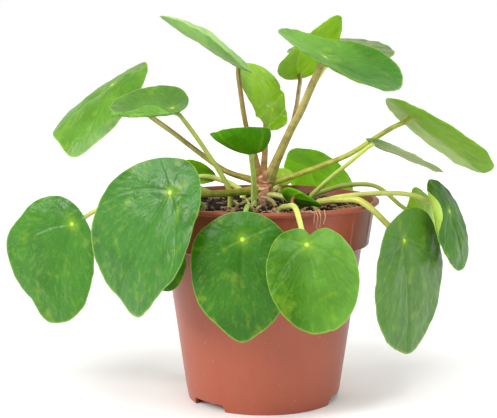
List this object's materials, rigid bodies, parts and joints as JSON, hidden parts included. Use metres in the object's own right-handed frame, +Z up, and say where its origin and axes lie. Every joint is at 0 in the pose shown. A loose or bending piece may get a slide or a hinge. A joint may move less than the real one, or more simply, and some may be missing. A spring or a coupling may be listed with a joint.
{
  "type": "potted Chinese money plant",
  "caption": "Low potted house plant with round, slightly domed leaves held near their middle by long stalks, in a lipped terracotta-coloured nursery pot.",
  "frame": {"origin": "under the middle of the whole plant's box, at the height of the pot's foot", "axes": "+Z up; -Y is the side the picture shows; +X is to that viewer's right"},
  "size_m": [0.2536, 0.1942, 0.1985],
  "materials": {
    "pot_plastic": "smooth moulded plastic with a soft sheen",
    "potting_soil": "crumbly, matt, dark peat; stands in for soil",
    "stem_bark": "knobbly, half-woody, matt",
    "leaf": "waxy living leaf with a soft gloss",
    "young_leaf": "waxy young leaf, yellower green",
    "green_stalk": "smooth fleshy stalk, light green",
    "brown_stalk": "smooth fleshy stalk, olive brown"
  },
  "bodies": {
    "root": {"pot": "pot_plastic", "soil": "potting_soil", "stem": "stem_bark", "leaf_01": "leaf", "leaf_02": "leaf", "leaf_03": "leaf", "leaf_04": "leaf", "leaf_05": "leaf", "leaf_06": "young_leaf", "leaf_07": "leaf", "leaf_08": "leaf", "leaf_09": "young_leaf", "leaf_10": "leaf", "leaf_11": "leaf", "leaf_12": "leaf", "leaf_13": "leaf", "leaf_14": "leaf", "leaf_15": "leaf", "leaf_16": "young_leaf", "leaf_17": "young_leaf", "leaf_18": "leaf", "leaf_19": "leaf", "leaf_20": "leaf", "leaf_21": "leaf", "leaf_22": "young_leaf", "stalk_01": "green_stalk", "stalk_02": "brown_stalk", "stalk_03": "brown_stalk", "stalk_04": "green_stalk", "stalk_05": "brown_stalk", "stalk_06": "brown_stalk", "stalk_07": "brown_stalk", "stalk_08": "green_stalk", "stalk_09": "brown_stalk", "stalk_10": "brown_stalk", "stalk_11": "brown_stalk", "stalk_12": "green_stalk", "stalk_13": "green_stalk", "stalk_14": "green_stalk", "stalk_15": "green_stalk", "stalk_16": "green_stalk", "stalk_17": "green_stalk", "stalk_18": "green_stalk", "stalk_19": "green_stalk", "stalk_20": "green_stalk", "stalk_21": "green_stalk", "stalk_22": "green_stalk"}
  },
  "joints": []
}
